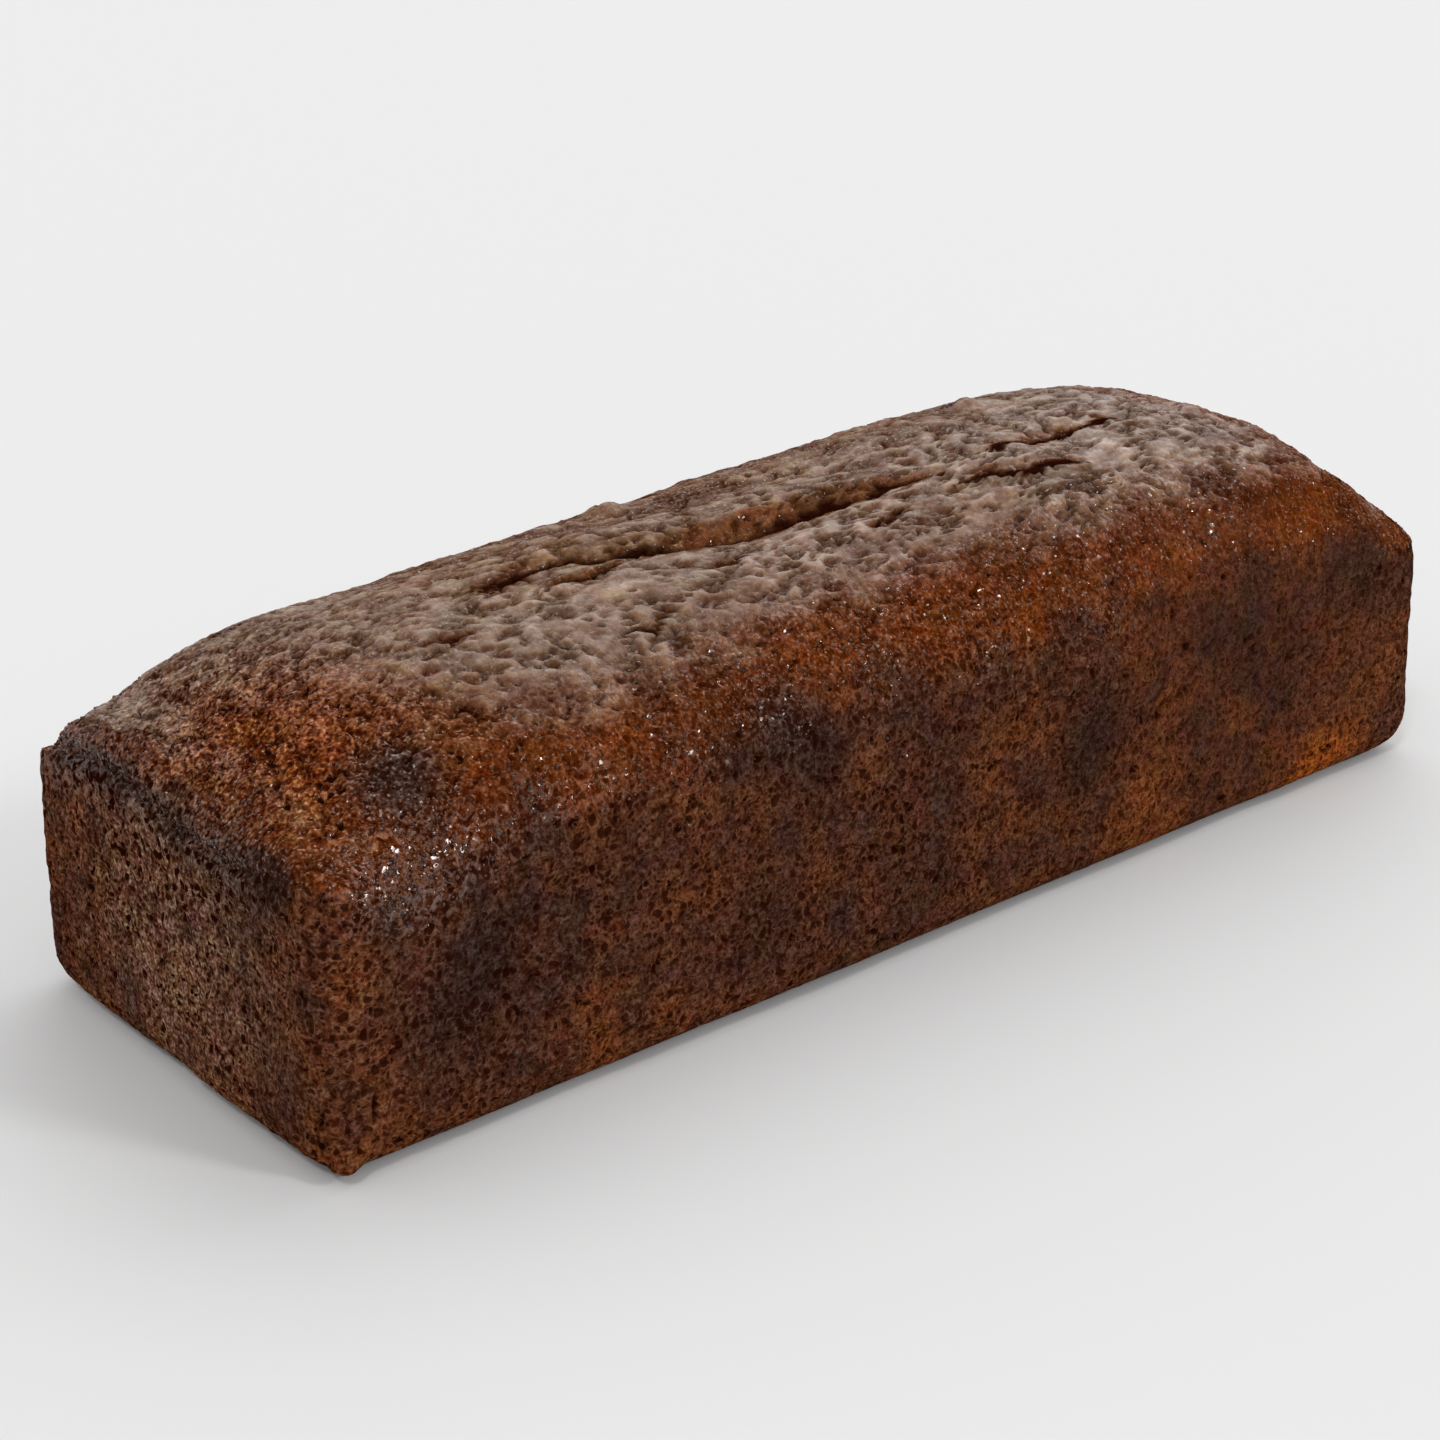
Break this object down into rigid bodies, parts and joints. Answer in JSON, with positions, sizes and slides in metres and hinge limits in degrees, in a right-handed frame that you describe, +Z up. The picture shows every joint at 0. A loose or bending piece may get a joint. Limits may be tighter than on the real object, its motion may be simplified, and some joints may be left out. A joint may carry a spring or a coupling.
{
  "type": "banana bread",
  "caption": "Whole uncut banana bread loaf with straight tin-baked sides, a domed dark brown top and a long split along it; food for a table, board or counter.",
  "frame": {"origin": "on the base, under the middle of the loaf's bounding box", "axes": "+X along the loaf, +Y across it, +Z up"},
  "size_m": [0.3034, 0.1062, 0.0861],
  "materials": {
    "crust": "dark brown baked crust, semi-gloss and sticky on top, open and porous on the sides"
  },
  "bodies": {
    "root": {"loaf": "crust"}
  },
  "joints": []
}
